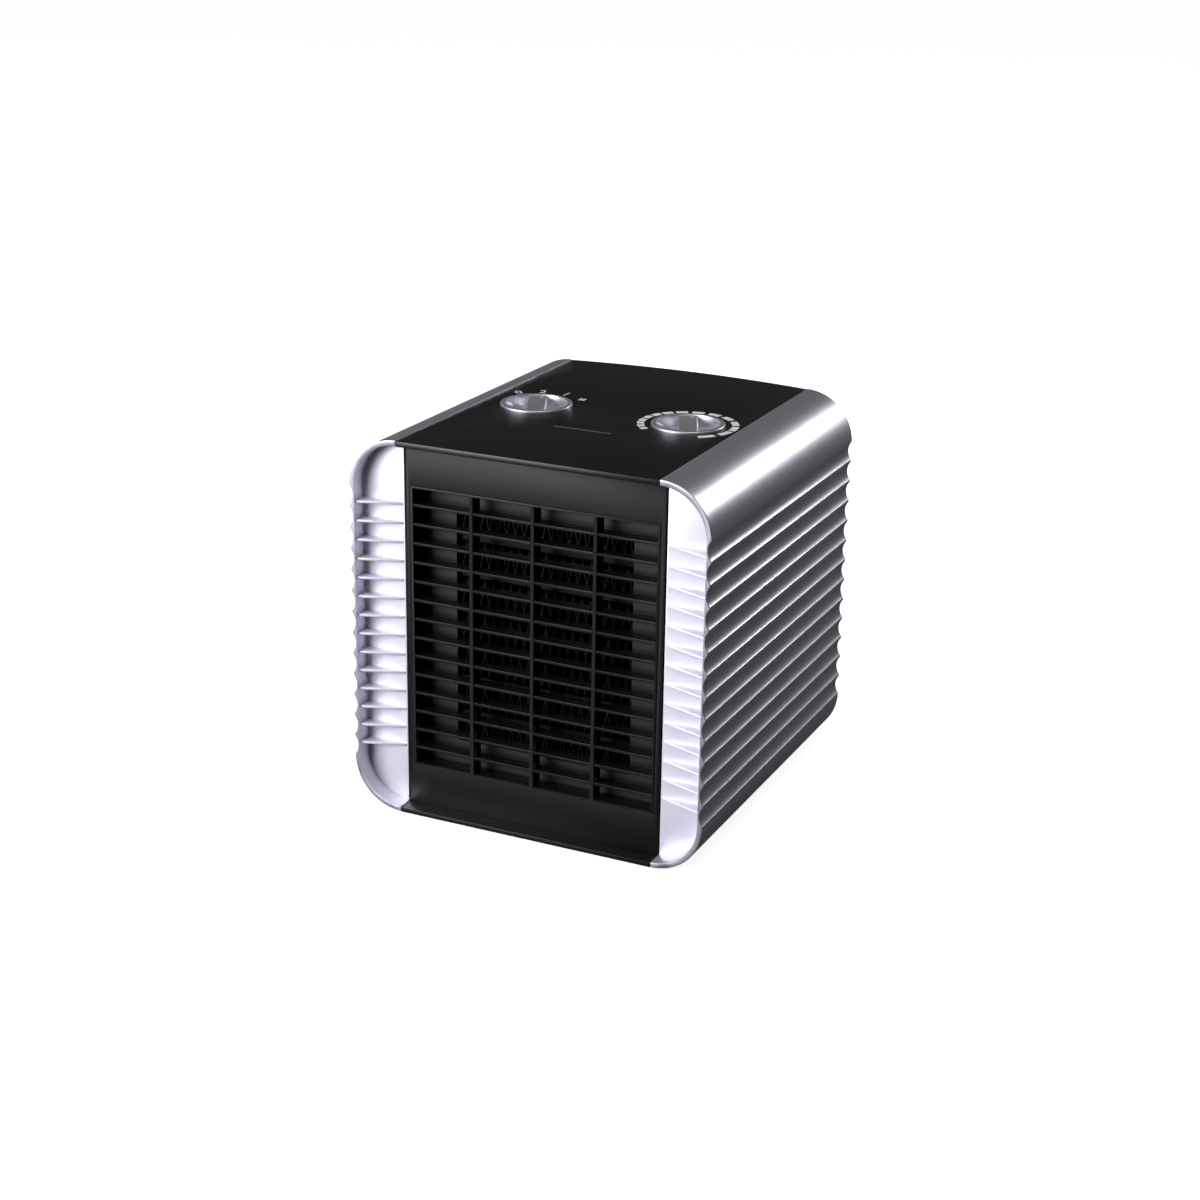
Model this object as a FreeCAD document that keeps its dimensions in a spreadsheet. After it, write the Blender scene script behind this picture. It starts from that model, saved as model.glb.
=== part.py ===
import FreeCAD, Part
import math
import os
import re
import Sketcher

# Ceramic fan heater in a cube-shaped case.
# Frame: +X to the right seen from the front, the front faces -Y, +Z up.
# The origin is under the middle of the case, at the level of the feet. Millimetres.

SIZES = {
    # whole case
    "body_width": 196.4, "body_height": 200, "side_depth": 197.5, "rear_bulge": 6.5,
    "corner_radius": 27, "foot_height": 2,
    # silver side profiles
    "profile_wall": 2.8, "rib_count": 13, "rib_depth": 1.8, "rib_land": 1.2, "rib_start": 27,
    "rib_top_margin": 25.4, "crest_fillet": 0.5, "rim_fillet": 0.5, "boss_radius": 4.5, "boss_offset": 20.5,
    "flange_thickness": 2, "flange_reach": 4.5, "flange_overlap": 6, "foot_flange_reach": 11,
    "flange_end_gap": 14,
    # how far a cutting solid runs past what it cuts
    "overshoot": 1,
    # seams between the case panels
    "seam_gap": 0.4, "bezel_gap": 1,
    # panels
    "top_thickness": 2.8, "top_step": 0.3, "base_thickness": 2.5, "front_recess": 9.5,
    "bezel_thickness": 2, "backing_thickness": 2, "backing_reach": 7, "backing_end_gap": 9,
    "fin_thickness": 1.3, "fin_setback": 1.2, "fin_root": 1,
    # outlet grille
    "grille_columns": 4, "grille_rows": 15, "grille_side_margin": 2.7, "grille_bottom_margin": 23.9,
    "grille_top_margin": 25, "grille_frame": 1.2, "grille_bar": 1.5, "grille_upright": 2,
    "grille_depth": 8, "grille_stand": 0.3,
    # knobs and the wells they sit in
    "knob_margin": 9, "knob_depth": 98.5, "knob_radius": 19, "knob_height": 9.5, "knob_stand": 1,
    "knob_gap": 0.4, "knob_rim": 2.6, "knob_edge_fillet": 0.6, "scoop_drop": 5.4, "scoop_step": 0.6,
    "grip_width": 10.3, "grip_drop": 0.5, "grip_edge": 1.5, "grip_root": 1, "dot_radius": 0.9,
    "dot_side": 2.5, "dot_reach": 12.6, "dot_rise": 0.2, "pointer_angle": 24.3, "well_depth": 10, "well_wall": 1.6, "well_floor": 2,
    "shaft_radius": 3, "shaft_grip": 5, "shaft_hole_gap": 0.5, "running_gap": 0.05, "shaft_tail": 6,
    # rotary switch and thermostat under the wells
    "switch_width": 28, "switch_height": 16, "terminal_width": 5, "terminal_thickness": 0.8,
    "terminal_length": 8, "control_screw_spacing": 22, "control_screw_radius": 1.3,
    "control_screw_head": 2.6, "control_screw_head_height": 1.1, "control_screw_grip": 5,
    "thermostat_width": 34, "thermostat_depth": 20, "thermostat_plate_thickness": 1.5,
    "spacer_radius": 4, "spacer_height": 4.5, "spacer_offset": 15, "rivet_radius": 1.4,
    "blade_thickness": 0.6, "blade_width": 7, "blade_overhang": 5, "collar_radius": 5,
    # pilot light
    "lens_length": 32, "lens_width": 1.2, "lens_depth": 63.4, "lens_flange": 2, "lens_flange_thickness": 1.2,
    "lamp_radius": 2.5, "lamp_length": 16, "lamp_holder_wall": 1.5,
    # heating element
    "duct_wall": 2, "duct_end": 60, "frame_start": 22, "frame_thickness": 3, "element_depth": 14,
    "element_margin": 10, "frame_overlap": 3, "tube_count": 6, "tube_height": 4, "tube_wall": 0.7,
    "end_width": 6, "stone_count": 4, "stone_gap": 2, "stone_depth": 10, "fin_pitch": 5,
    "fin_sheet": 0.5, "tab_width": 6, "tab_thickness": 0.8, "tab_length": 9,
    # fan and its shroud
    "shroud_plate": 2, "fan_radius": 56, "fan_tip_gap": 2, "ring_wall": 2, "ring_depth": 22,
    "fan_start": 4, "blade_depth": 14, "hub_radius": 15, "hub_wall": 2, "fan_blades": 7,
    "fan_blade_sheet": 1.6, "root_half_chord": 8, "tip_half_chord": 17, "tip_rise": 5,
    "strut_width": 8, "strut_thickness": 3, "motor_seat_radius": 31, "motor_seat_hole": 8,
    # shaded-pole motor
    "motor_shaft_radius": 2, "motor_shaft_tail": 5, "bridge_thickness": 2, "bridge_leg": 6,
    "bridge_width": 54, "bridge_height": 14, "bridge_foot": 8, "core_width": 58, "core_depth": 16,
    "core_top": 24, "core_bottom": 38, "core_leg": 8, "window_height": 13, "window_width": 30,
    "rotor_radius": 13, "air_gap": 0.4, "rotor_overhang": 2, "coil_build": 7, "coil_gap": 1,
    "bush_radius": 6, "bush_length": 8, "motor_screw_radius": 1.9, "motor_screw_head": 3.5,
    "motor_screw_head_height": 2, "motor_screw_offset": 22,
    # rear cover
    "rear_recess": 2, "cover_thickness": 2.5, "intake_rows": 13, "intake_columns": 4,
    "intake_pitch": 8, "intake_slot": 4, "intake_slot_length": 24, "intake_column_pitch": 28,
    # cord inlet
    "gland_height": 15, "gland_bore": 3.5, "gland_radius": 6, "gland_flange": 8,
    "gland_flange_thickness": 2, "gland_length": 12, "gland_boss_wall": 2,
    # safety parts and terminals
    "cutout_radius": 8, "cutout_height": 9, "cutout_depth": 38, "cutout_plate_length": 26,
    "cutout_plate_width": 9, "cutout_plate_thickness": 0.8, "fuse_length": 14, "fuse_width": 5,
    "fuse_lead": 0.5, "fuse_lead_length": 12, "block_length": 44, "block_width": 18, "block_height": 12,
    "block_gap": 4, "block_back": 30, "block_ways": 4, "block_screw_radius": 2, "block_screw_depth": 7,
    "wire_radius": 1, "wire_bend": 8, "wire_slack": 7,
    # feet and screws
    "foot_radius": 7, "foot_peg": 3, "foot_side": 18, "foot_end": 24, "case_screw_radius": 1.5,
    "case_screw_head": 3, "case_screw_head_height": 1.3, "base_screw_side": 6, "base_screw_end": 40,
    "support_side": 30, "support_thickness": 3, "rear_screw_grip": 14,
}

LAYOUT = {
    "front_plane": "-(side_depth + rear_bulge) / 2",
    "rear_plane": "front_plane + side_depth",
    "body_top": "foot_height + body_height",
    "side_plane": "body_width / 2",
    "wall_plane": "side_plane - profile_wall",
    "centre_half": "side_plane - corner_radius",
    "panel_half": "centre_half - seam_gap",
    "bulge_radius": "(panel_half ^ 2 + rear_bulge ^ 2) / (2 * rear_bulge)",
    "rib_pitch": "(body_height - rib_start - rib_top_margin) / rib_count",
    "rib_chord": "rib_pitch - rib_land",
    "rib_radius": "(rib_chord ^ 2 / 4 + rib_depth ^ 2) / (2 * rib_depth)",
    "base_top": "foot_height + base_thickness",
    "panel_top": "body_top - top_step",
    "panel_under": "panel_top - top_thickness",
    "panel_face": "front_plane + front_recess",
    "backing_face": "panel_face + bezel_thickness",
    "backing_back": "backing_face + backing_thickness",
    "face_half": "centre_half - bezel_gap / 2",
    "bezel_inner": "centre_half + bezel_gap / 2",
    "grille_half": "face_half - grille_side_margin",
    "grille_bottom": "foot_height + grille_bottom_margin",
    "grille_top": "body_top - grille_top_margin",
    "grille_front": "panel_face - grille_stand",
    "grille_back": "grille_front + grille_depth",
    "row_pitch": "(grille_top - grille_bottom) / grille_rows",
    "column_pitch": "2 * grille_half / grille_columns",
    "knob_side": "centre_half - knob_margin - knob_radius",
    "knob_line": "front_plane + knob_depth",
    "knob_base": "panel_top + knob_stand - knob_height",
    "well_radius": "knob_radius + knob_gap",
    "well_bottom": "panel_top - well_depth",
    "control_top": "well_bottom - well_floor",
    "scoop_radius": "knob_radius - knob_rim",
    "scoop_reach": "scoop_radius - grip_width / 2",
    "scoop_curve": "(scoop_reach ^ 2 + scoop_drop ^ 2) / (2 * scoop_drop)",
    "duct_half": "grille_half + duct_wall",
    "duct_bottom": "grille_bottom - duct_wall",
    "duct_top": "grille_top + duct_wall",
    "duct_back": "front_plane + duct_end",
    "frame_front": "front_plane + frame_start",
    "element_front": "frame_front + frame_thickness",
    "element_back": "element_front + element_depth",
    "frame_back": "element_back + frame_thickness",
    "element_half": "grille_half - element_margin",
    "element_bottom": "grille_bottom + element_margin",
    "element_top": "grille_top - element_margin",
    "row_height": "(element_top - element_bottom - tube_count * tube_height) / (tube_count + 1)",
    "tube_half": "element_half - end_width",
    "fan_height": "(grille_bottom + grille_top) / 2",
    "shroud_back": "duct_back + shroud_plate",
    "ring_radius": "fan_radius + fan_tip_gap",
    "ring_back": "shroud_back + ring_depth",
    "seat_back": "ring_back + strut_thickness",
    "bridge_back": "seat_back + bridge_thickness",
    "core_front": "bridge_back + bridge_leg",
    "core_back": "core_front + core_depth",
    "rear_bridge": "core_back + bridge_leg",
    "motor_back": "rear_bridge + bridge_thickness",
    "cover_front": "rear_plane - rear_recess - cover_thickness",
    "cover_back": "rear_plane - rear_recess",
    "rear_face": "rear_plane + rear_bulge",
    "gland_level": "base_top + gland_height",
}

document = FreeCAD.newDocument("ceramic_heater")
sizes = document.addObject("Spreadsheet::Sheet", "Sizes")
layout = document.addObject("Spreadsheet::Sheet", "Layout")
WORD = re.compile(r"[a-z_]+")


def bound(text, own_sheet=""):
    """Names the sheet of every size in an expression."""

    def sheet_name(match):
        word = match.group()
        if word in SIZES:
            return "Sizes." + word
        if word in LAYOUT and own_sheet != "Layout":
            return "Layout." + word
        return word

    return WORD.sub(sheet_name, text)


for row, (alias, value) in enumerate(SIZES.items(), start=1):
    sizes.set(f"A{row}", alias)
    sizes.set(f"B{row}", str(value))
    sizes.setAlias(f"B{row}", alias)
document.recompute()
for row, (alias, formula) in enumerate(LAYOUT.items(), start=1):
    layout.set(f"A{row}", alias)
    layout.set(f"B{row}", "=" + bound(formula, "Layout"))
    layout.setAlias(f"B{row}", alias)
    document.recompute()


def number(text):
    """The present value of an expression, for counts and starting places."""
    value = document.Sizes.evalExpression(bound(text))
    return float(getattr(value, "Value", value))


def bind(item, **targets):
    for path, text in targets.items():
        item.setExpression(path.replace("__", "."), bound(text))
    return item


def place(item, x="0", y="0", z="0"):
    return bind(item, Placement__Base__x=x, Placement__Base__y=y, Placement__Base__z=z)


def box(name, x, y, z):
    """A block between two levels on each axis."""
    item = document.addObject("Part::Box", name)
    bind(item, Length=f"({x[1]}) - ({x[0]})", Width=f"({y[1]}) - ({y[0]})", Height=f"({z[1]}) - ({z[0]})")
    return place(item, x[0], y[0], z[0])


TURNS = {
    "x": FreeCAD.Rotation(FreeCAD.Vector(0, 1, 0), 90),
    "y": FreeCAD.Rotation(FreeCAD.Vector(1, 0, 0), -90),
    "z": FreeCAD.Rotation(),
}


def rod(name, radius, axis, ends, centre):
    """A cylinder along an axis between two levels; centre holds its other two coordinates."""
    item = document.addObject("Part::Cylinder", name)
    item.Placement = FreeCAD.Placement(FreeCAD.Vector(), TURNS[axis])
    bind(item, Radius=radius, Height=f"({ends[1]}) - ({ends[0]})")
    across = [letter for letter in "xyz" if letter != axis]
    return place(item, **{axis: ends[0], across[0]: centre[0], across[1]: centre[1]})


def fuse(name, *shapes):
    item = document.addObject("Part::MultiFuse", name)
    item.Shapes = list(shapes)
    return item


def common(name, *shapes):
    item = document.addObject("Part::MultiCommon", name)
    item.Shapes = list(shapes)
    return item


def cut(name, base, *tools):
    item = document.addObject("Part::Cut", name)
    item.Base = base
    item.Tool = tools[0] if len(tools) == 1 else fuse(name + "_cutters", *tools)
    return item


def mirror_x(name, source):
    item = document.addObject("Part::Mirroring", name)
    item.Source = source
    item.Normal = FreeCAD.Vector(1, 0, 0)
    return item


nodes = []


def node(item, label):
    """Names a finished piece; the label is also its file name."""
    item.Label = label
    nodes.append(item)
    return item


def group(label, *shapes):
    """Separate solids that share one node."""
    item = document.addObject("Part::Compound", label + "_group")
    item.Links = list(shapes)
    return node(item, label)


def origin_plane(body, role):
    return next(feature for feature in body.Origin.OriginFeatures if feature.Role == role)


def sketch_on(body, name, role, offset="0"):
    sketch = body.newObject("Sketcher::SketchObject", name)
    sketch.AttachmentSupport = (origin_plane(body, role), [""])
    sketch.MapMode = "FlatFace"
    bind(sketch, AttachmentOffset__Base__z=offset)
    return sketch


def pin_point(sketch, edge, end, x, y):
    """Holds one point of a sketch at bound coordinates."""
    for kind, text in (("DistanceX", x), ("DistanceY", y)):
        index = sketch.addConstraint(Sketcher.Constraint(kind, -1, 1, edge, end, number(text)))
        sketch.setExpression(f"Constraints[{index}]", bound(text))


def polygon(sketch, corners):
    """A closed outline whose corners are pairs of expressions."""
    places = [FreeCAD.Vector(number(x), number(y), 0) for x, y in corners]
    first = sketch.GeometryCount
    for here, there in zip(places, places[1:] + places[:1]):
        sketch.addGeometry(Part.LineSegment(here, there))
    for step, (x, y) in enumerate(corners):
        previous = first + (step - 1) % len(corners)
        sketch.addConstraint(Sketcher.Constraint("Coincident", previous, 2, first + step, 1))
        pin_point(sketch, first + step, 1, x, y)
    return sketch


def circle(sketch, x, y, radius):
    centre = FreeCAD.Vector(number(x), number(y), 0)
    edge = sketch.addGeometry(Part.Circle(centre, FreeCAD.Vector(0, 0, 1), number(radius)))
    pin_point(sketch, edge, 3, x, y)
    index = sketch.addConstraint(Sketcher.Constraint("Radius", edge, number(radius)))
    sketch.setExpression(f"Constraints[{index}]", bound(radius))
    return sketch


def pad(body, sketch, length, backwards=False):
    feature = body.newObject("PartDesign::Pad", sketch.Name + "_pad")
    feature.Profile = sketch
    feature.Reversed = backwards
    bind(feature, Length=length)
    document.recompute()
    return feature


def pocket_through(body, sketch):
    feature = body.newObject("PartDesign::Pocket", sketch.Name + "_pocket")
    feature.Profile = sketch
    feature.Type = "ThroughAll"
    feature.Midplane = True
    document.recompute()
    return feature


def row_of(body, feature, sketch, axis, span, count):
    """Repeats a feature along a sketch axis; span is the distance from first to last."""
    pattern = body.newObject("PartDesign::LinearPattern", feature.Name + "_row")
    pattern.Originals = [feature]
    pattern.Direction = (sketch, [axis])
    bind(pattern, Length=span, Occurrences=count)
    body.Tip = pattern
    document.recompute()
    return pattern


def ring_of(body, feature, role, count):
    pattern = body.newObject("PartDesign::PolarPattern", feature.Name + "_ring")
    pattern.Originals = [feature]
    pattern.Axis = (origin_plane(body, role), [""])
    pattern.Angle = 360
    bind(pattern, Occurrences=count)
    body.Tip = pattern
    document.recompute()
    return pattern


def fillet_edges(body, base, radius, wanted):
    """Rounds the edges of a feature that a test picks."""
    names = [f"Edge{index + 1}" for index, edge in enumerate(base.Shape.Edges) if wanted(edge)]
    feature = body.newObject("PartDesign::Fillet", base.Name + "_round")
    feature.Base = (base, names)
    bind(feature, Radius=radius)
    document.recompute()
    return feature


def runs_along(edge, axis):
    direction = edge.lastVertex().Point - edge.firstVertex().Point
    length = direction.Length
    return length > 1e-6 and abs(direction[axis]) / length > 0.999


def case_form(name, inset, start, end):
    """A round-cornered block, the case's outline drawn in by an inset."""
    body = document.addObject("PartDesign::Body", name)
    sketch = sketch_on(body, name + "_outline", "XZ_Plane", f"-({end})")
    left, right = f"-side_plane + ({inset})", f"side_plane - ({inset})"
    low, high = f"foot_height + ({inset})", f"body_top - ({inset})"
    polygon(sketch, [(left, low), (right, low), (right, high), (left, high)])
    block = pad(body, sketch, f"({end}) - ({start})")
    body.Tip = fillet_edges(body, block, f"corner_radius - ({inset})", lambda edge: runs_along(edge, 1))
    return body


# Silver side profiles: a C section with quarter rounds and concave flutes, hollow inside.
outer_form = case_form("outer_form", "0", "front_plane", "rear_plane")
outer_round = fillet_edges(
    outer_form, outer_form.Tip, "rim_fillet", lambda edge: edge.BoundBox.YLength < 0.001
)
flute_sketch = sketch_on(outer_form, "flute", "XZ_Plane")
for side in ("", "-"):
    circle(
        flute_sketch,
        f"{side}(side_plane - rib_depth + rib_radius)",
        "foot_height + rib_start + rib_pitch / 2",
        "rib_radius",
    )
flute = pocket_through(outer_form, flute_sketch)
flutes = row_of(outer_form, flute, flute_sketch, "V_Axis", "rib_pitch * (rib_count - 1)", "rib_count")


def is_crest(edge):
    middle = edge.BoundBox.Center
    in_ribs = number("foot_height + rib_start + overshoot") < middle.z < number(
        "body_top - rib_top_margin - overshoot"
    )
    return runs_along(edge, 1) and in_ribs and abs(abs(middle.x) - number("side_plane")) < 0.01


fluted = fillet_edges(outer_form, flutes, "crest_fillet", is_crest)
outer_form.Tip = fluted

inner_form = case_form("inner_form", "profile_wall", "front_plane - overshoot", "rear_plane + overshoot")
right_space = box(
    "right_space",
    ("centre_half", "side_plane + overshoot"),
    ("front_plane - overshoot", "rear_plane + overshoot"),
    ("0", "body_top + overshoot"),
)
profile_shell = common("profile_shell", cut("case_tube", outer_form, inner_form), right_space)

boss_shapes = []
boss_holes = []
for level, sign in (("foot_height + corner_radius", "-"), ("body_top - corner_radius", "+")):
    centre = ("centre_half + boss_offset / sqrt(2)", f"{level} {sign} boss_offset / sqrt(2)")
    tag = "low" if sign == "-" else "high"
    span = ("backing_face", "cover_front")
    boss_shapes.append(rod(f"boss_{tag}", "boss_radius", "y", span, centre))
    grip = ("cover_front - rear_screw_grip", "cover_front")
    boss_holes.append(rod(f"boss_hole_{tag}", "case_screw_radius", "y", grip, centre))
flange_ends = ("front_plane + flange_end_gap", "rear_plane - flange_end_gap")
top_flange = box(
    "top_flange",
    ("centre_half - flange_reach", "centre_half + flange_overlap"),
    flange_ends,
    ("panel_under - flange_thickness", "panel_under"),
)
foot_flange = box(
    "foot_flange",
    ("centre_half - foot_flange_reach", "centre_half + flange_overlap"),
    flange_ends,
    ("base_top", "base_top + flange_thickness"),
)
base_screw_lines = {
    "front": "front_plane + base_screw_end",
    "rear": "rear_plane - base_screw_end",
}
base_screw_x = "centre_half - base_screw_side"
flange_holes = [
    rod(
        f"flange_hole_{tag}",
        "case_screw_radius",
        "z",
        ("base_top", "base_top + flange_thickness"),
        (base_screw_x, line),
    )
    for tag, line in base_screw_lines.items()
]
profile_parts = fuse("profile_parts", profile_shell, *boss_shapes, top_flange, foot_flange)
outline_again = case_form(
    "profile_limit", "profile_wall / 2", "front_plane - overshoot", "rear_plane + overshoot"
)
inside_parts = common("inside_parts", profile_parts, outline_again)
profile_whole = fuse("profile_whole", profile_shell, inside_parts)
right_profile = cut("profile_right_solid", profile_whole, *boss_holes, *flange_holes)
node(mirror_x("profile_left_solid", right_profile), "side_profile_left")
node(right_profile, "side_profile_right")

# Silver bezels: recessed strips beside the outlet, with fins in line with the grille bars.
bezel_form = case_form("bezel_form", "profile_wall", "panel_face", "backing_face")
bezel_space = box(
    "bezel_space",
    ("bezel_inner", "side_plane"),
    ("panel_face - overshoot", "backing_face + overshoot"),
    ("0", "body_top"),
)
bezel_plate = common("bezel_plate", bezel_form, bezel_space)
fin_body = document.addObject("PartDesign::Body", "bezel_fins")
fin_sketch = sketch_on(fin_body, "fin", "XY_Plane", "grille_bottom + row_pitch - fin_thickness / 2")
polygon(
    fin_sketch,
    [
        ("bezel_inner + fin_root", "panel_face + bezel_thickness / 2"),
        ("wall_plane", "panel_face + bezel_thickness / 2"),
        ("wall_plane", "front_plane + fin_setback"),
        ("bezel_inner + fin_root", "panel_face - fin_root / 2"),
    ],
)
fin = pad(fin_body, fin_sketch, "fin_thickness")
row_of(fin_body, fin, fin_sketch, "N_Axis", "row_pitch * (grille_rows - 2)", "grille_rows - 1")
right_bezel = fuse("bezel_right_solid", bezel_plate, fin_body)
node(mirror_x("bezel_left_solid", right_bezel), "bezel_left")
node(right_bezel, "bezel_right")


def bulged_slab(name, low, high):
    """A flat panel over the whole depth whose rear edge bows outwards."""
    slab = box(
        name + "_slab",
        ("-panel_half", "panel_half"),
        ("front_plane", "rear_face"),
        (low, high),
    )
    bow = rod(name + "_bow", "bulge_radius", "z", (low, high), ("0", "rear_face - bulge_radius"))
    return common(name, slab, bow)


# Top panel: the slab that carries both wells, the pilot light slot and a front lip.
top_slab = bulged_slab("top_slab", "panel_under", "panel_top")
wells = []
well_cuts = []
KNOBS = {"mode": "-knob_side", "thermostat": "knob_side"}
for tag, side in KNOBS.items():
    centre = (side, "knob_line")
    cup_radius = "well_radius + well_wall"
    wells.append(rod(f"{tag}_well", cup_radius, "z", ("control_top", "panel_under + overshoot"), centre))
    well_cuts.append(
        rod(f"{tag}_well_space", "well_radius", "z", ("well_bottom", "panel_top + overshoot"), centre)
    )
    hole_radius = "shaft_radius + shaft_hole_gap"
    well_cuts.append(
        rod(
            f"{tag}_shaft_hole",
            hole_radius,
            "z",
            ("control_top - overshoot", "well_bottom + overshoot"),
            centre,
        ),
    )
    for step in ("-", "+"):
        screw_x = f"{side} {step} control_screw_spacing / 2"
        hole = f"{tag}_screw_hole_{'low' if step == '-' else 'high'}"
        span = ("control_top - overshoot", "well_bottom + overshoot")
        well_cuts.append(rod(hole, "control_screw_radius", "z", span, (screw_x, "knob_line")))
lens_line = "front_plane + lens_depth"
lens_slot = box(
    "lens_slot",
    ("-lens_length / 2", "lens_length / 2"),
    (f"{lens_line} - lens_width / 2", f"{lens_line} + lens_width / 2"),
    ("panel_under - overshoot", "panel_top + overshoot"),
)
node(cut("top_panel_solid", fuse("top_parts", top_slab, *wells), *well_cuts, lens_slot), "top_panel")

# Base tray: the floor of the case with its front sill, and two ribs that hold the duct up.
base_slab = bulged_slab("base_slab", "foot_height", "base_top")
supports = [
    box(
        f"support_{tag}",
        (f"{side}support_side - support_thickness / 2", f"{side}support_side + support_thickness / 2"),
        ("backing_back", "duct_back"),
        ("base_top - overshoot", "duct_bottom"),
    )
    for tag, side in (("left", "-"), ("right", ""))
]
foot_places = [
    (f"{side}(centre_half - foot_side)", line)
    for side in ("-", "")
    for line in ("front_plane + foot_end", "rear_plane - foot_end")
]
base_cuts = [
    rod(f"foot_hole_{index}", "foot_peg", "z", ("foot_height - overshoot", "base_top + overshoot"), centre)
    for index, centre in enumerate(foot_places)
]
base_screw_places = [
    (f"{side}({base_screw_x})", line)
    for side in ("-", "") for line in base_screw_lines.values()
]
for index, centre in enumerate(base_screw_places):
    base_cuts.append(
        rod(
            f"base_screw_hole_{index}",
            "case_screw_radius",
            "z",
            ("foot_height - overshoot", "base_top + overshoot"),
            centre,
        )
    )
    head_span = ("foot_height - overshoot", "foot_height + case_screw_head_height")
    base_cuts.append(rod(f"base_screw_sink_{index}", "case_screw_head", "z", head_span, centre))
node(cut("base_solid", fuse("base_parts", base_slab, *supports), *base_cuts), "base_tray")
group(
    "rubber_feet",
    *[
        fuse(
            f"foot_{index}",
            rod(f"foot_pad_{index}", "foot_radius", "z", ("0", "foot_height"), centre),
            rod(
                f"foot_peg_{index}", "foot_peg", "z", ("foot_height - foot_height / 2", "base_top"), centre
            ),
        )
        for index, centre in enumerate(foot_places)
    ],
)
group(
    "base_screws",
    *[
        fuse(
            f"base_screw_{index}",
            rod(
                f"base_screw_head_{index}",
                "case_screw_head",
                "z",
                ("foot_height", "foot_height + case_screw_head_height"),
                centre,
            ),
            rod(
                f"base_screw_shank_{index}",
                "case_screw_radius",
                "z",
                ("foot_height + case_screw_head_height / 2", "base_top + flange_thickness"),
                centre,
            ),
        )
        for index, centre in enumerate(base_screw_places)
    ],
)

# Front panel: the recessed black face, with a backing that laps behind the bezels.
face_plate = box(
    "face_plate",
    ("-face_half", "face_half"),
    ("panel_face", "backing_back"),
    ("base_top", "panel_under"),
)
backing = box(
    "backing",
    ("-centre_half - backing_reach", "centre_half + backing_reach"),
    ("backing_face", "backing_back"),
    ("base_top + backing_end_gap", "panel_under - backing_end_gap"),
)
outlet = box(
    "outlet",
    ("-grille_half", "grille_half"),
    ("panel_face - overshoot", "backing_back + overshoot"),
    ("grille_bottom", "grille_top"),
)
node(cut("front_panel_solid", fuse("front_parts", face_plate, backing), outlet), "front_panel")

# Outlet grille: a thin frame with upright and level bars.
grille_body = document.addObject("PartDesign::Body", "grille_body")
frame_sketch = sketch_on(grille_body, "grille_edge", "XZ_Plane", "-grille_back")
for inset in ("0", "grille_frame"):
    left, right = f"-grille_half + {inset}", f"grille_half - {inset}"
    low, high = f"grille_bottom + {inset}", f"grille_top - {inset}"
    polygon(frame_sketch, [(left, low), (right, low), (right, high), (left, high)])
pad(grille_body, frame_sketch, "grille_depth")
upright_sketch = sketch_on(grille_body, "upright", "XZ_Plane", "-grille_back")
upright_x = "-grille_half + column_pitch"
polygon(
    upright_sketch,
    [
        (f"{upright_x} - grille_upright / 2", "grille_bottom + grille_frame / 2"),
        (f"{upright_x} + grille_upright / 2", "grille_bottom + grille_frame / 2"),
        (f"{upright_x} + grille_upright / 2", "grille_top - grille_frame / 2"),
        (f"{upright_x} - grille_upright / 2", "grille_top - grille_frame / 2"),
    ],
)
upright = pad(grille_body, upright_sketch, "grille_depth")
upright_span = "column_pitch * (grille_columns - 2)"
row_of(grille_body, upright, upright_sketch, "H_Axis", upright_span, "grille_columns - 1")
bar_sketch = sketch_on(grille_body, "bar", "XZ_Plane", "-grille_back")
bar_z = "grille_bottom + row_pitch"
polygon(
    bar_sketch,
    [
        ("-grille_half + grille_frame / 2", f"{bar_z} - grille_bar / 2"),
        ("grille_half - grille_frame / 2", f"{bar_z} - grille_bar / 2"),
        ("grille_half - grille_frame / 2", f"{bar_z} + grille_bar / 2"),
        ("-grille_half + grille_frame / 2", f"{bar_z} + grille_bar / 2"),
    ],
)
bar = pad(grille_body, bar_sketch, "grille_depth - grille_stand")
row_of(grille_body, bar, bar_sketch, "V_Axis", "row_pitch * (grille_rows - 2)", "grille_rows - 1")
node(grille_body, "front_grille")

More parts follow.
